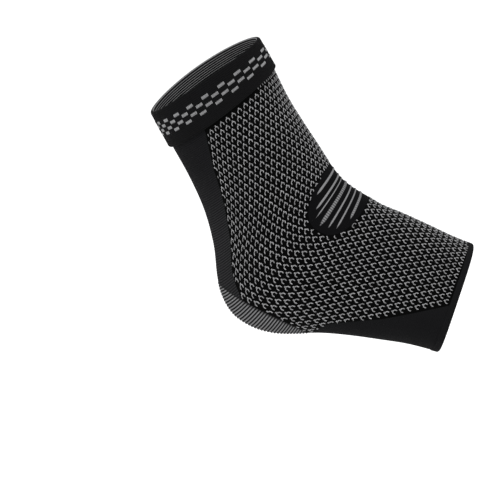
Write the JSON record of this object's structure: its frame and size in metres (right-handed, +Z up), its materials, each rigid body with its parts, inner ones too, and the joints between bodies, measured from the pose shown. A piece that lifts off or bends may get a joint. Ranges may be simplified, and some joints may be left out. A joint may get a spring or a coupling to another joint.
{
  "type": "knitted ankle brace sleeve",
  "caption": "Pull-on knitted ankle compression sleeve with open toe, closed heel cup, doubled cuff and a ribbed flex panel over the instep.",
  "frame": {"origin": "centre of the wearer's ankle inside the sleeve, midway between the shin bend and the heel", "axes": "+X forward toward the toe opening, +Y to the wearer's left, +Z up, with the leg leaning back as worn"},
  "size_m": [0.2159, 0.0766, 0.2127],
  "materials": {
    "cuff_knit": "black double-layer stretch knit with rows of grey dashes",
    "patterned_knit": "black stretch knit with small grey horseshoe figures",
    "plain_black_knit": "matt black stretch knit",
    "grey_rib_knit": "grey and black ribbed stretch knit",
    "striped_knit": "black stretch knit with raised grey ribs",
    "hem_knit": "matt black rolled knit hem"
  },
  "bodies": {
    "root": {"cuff_band": "cuff_knit", "main_knit_tube": "patterned_knit", "back_panel": "plain_black_knit", "heel_cup": "grey_rib_knit", "sole_panel": "plain_black_knit", "flex_panel": "striped_knit", "toe_hem": "hem_knit"}
  },
  "joints": []
}
